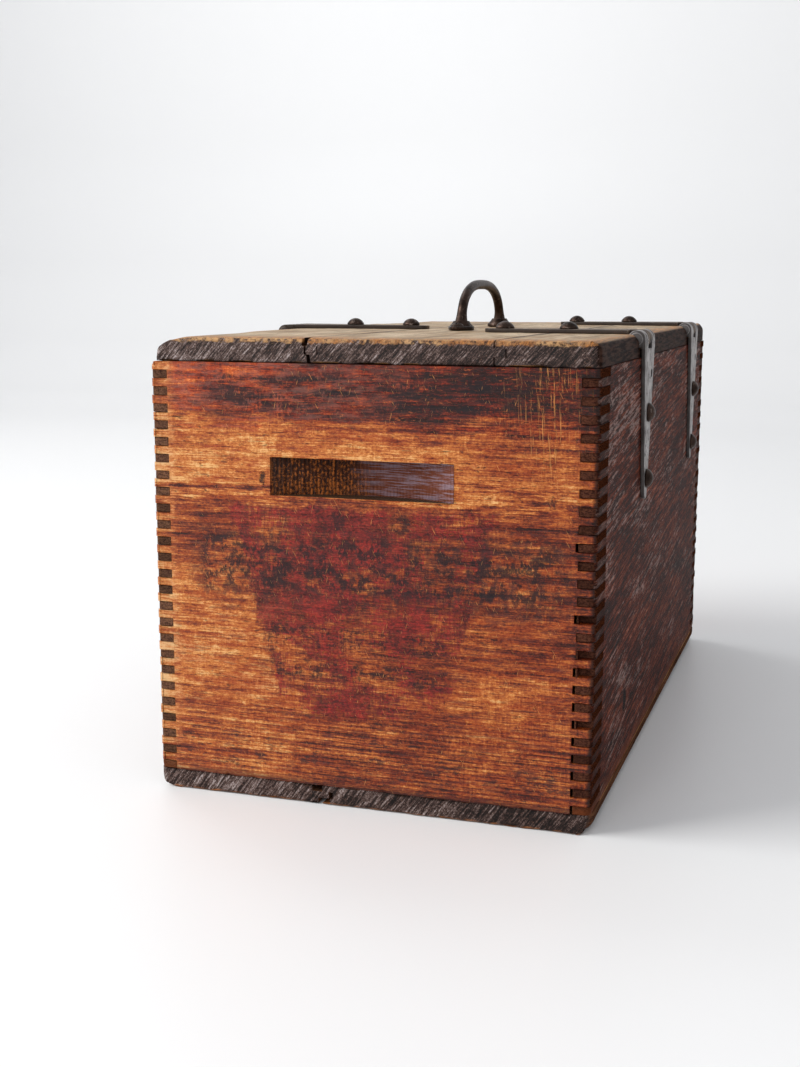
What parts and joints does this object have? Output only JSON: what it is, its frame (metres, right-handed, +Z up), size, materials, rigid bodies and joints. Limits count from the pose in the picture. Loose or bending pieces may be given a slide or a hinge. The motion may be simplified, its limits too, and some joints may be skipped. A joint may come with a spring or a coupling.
{
  "type": "wooden chest",
  "caption": "Finger-jointed wooden chest with a hinged board lid on strap hinges, a slotted strap hasp, an arched lid pull and routed hand-holds in its ends.",
  "frame": {"origin": "middle of the underside of the bottom boards", "axes": "+X across the narrow end towards the hinges, +Y along the length away from the front hand-hold, +Z up"},
  "size_m": [0.2753, 0.44, 0.28],
  "materials": {
    "end_wood": "varnished pine, worn, with faded red paint",
    "side_wood": "dark red-brown, semi-gloss, scuffed by saw marks",
    "base_wood": "dark, rough sawn",
    "lid_wood": "weathered, with dark end grain",
    "batten_wood": "bare pine",
    "strap_steel": "worn grey",
    "dark_iron": "brown-black, semi-gloss"
  },
  "bodies": {
    "box": {"front_end_panel": "end_wood", "rear_end_panel": "end_wood", "left_side_panel": "side_wood", "right_side_panel": "side_wood", "bottom_board_left": "base_wood", "bottom_board_right": "base_wood", "bottom_nails": "dark_iron", "front_hinge_side_leaf": "strap_steel", "rear_hinge_side_leaf": "strap_steel", "front_hinge_pin": "strap_steel", "rear_hinge_pin": "strap_steel", "hinge_side_bolts": "dark_iron", "hinge_side_nuts": "dark_iron", "hasp_staple": "dark_iron", "staple_back_plate": "strap_steel"},
    "lid": {"lid_board_left": "lid_wood", "lid_board_middle": "lid_wood", "lid_board_right": "lid_wood", "lid_batten_front": "batten_wood", "lid_batten_rear": "batten_wood", "batten_screws": "dark_iron", "front_hinge_lid_leaf": "strap_steel", "rear_hinge_lid_leaf": "strap_steel", "hinge_lid_bolts": "dark_iron", "hinge_lid_nuts": "dark_iron", "hasp_lid_leaf": "strap_steel", "hasp_pin": "strap_steel", "hasp_bolts": "dark_iron", "hasp_nuts": "dark_iron", "lid_pull": "dark_iron", "pull_screws": "dark_iron"},
    "hasp": {"hasp_flap": "strap_steel"}
  },
  "joints": [
    {"name": "lid_hinge", "type": "hinge", "parent": "box", "child": "lid", "pos_m": [0.1182, 0, 0.2462], "axis": [0, 1, 0], "range_deg": [0, 180]},
    {"name": "hasp_swing", "type": "hinge", "parent": "lid", "child": "hasp", "pos_m": [-0.1186, -0.022, 0.2462], "axis": [0, 1, 0], "range_deg": [-17, 163]}
  ]
}
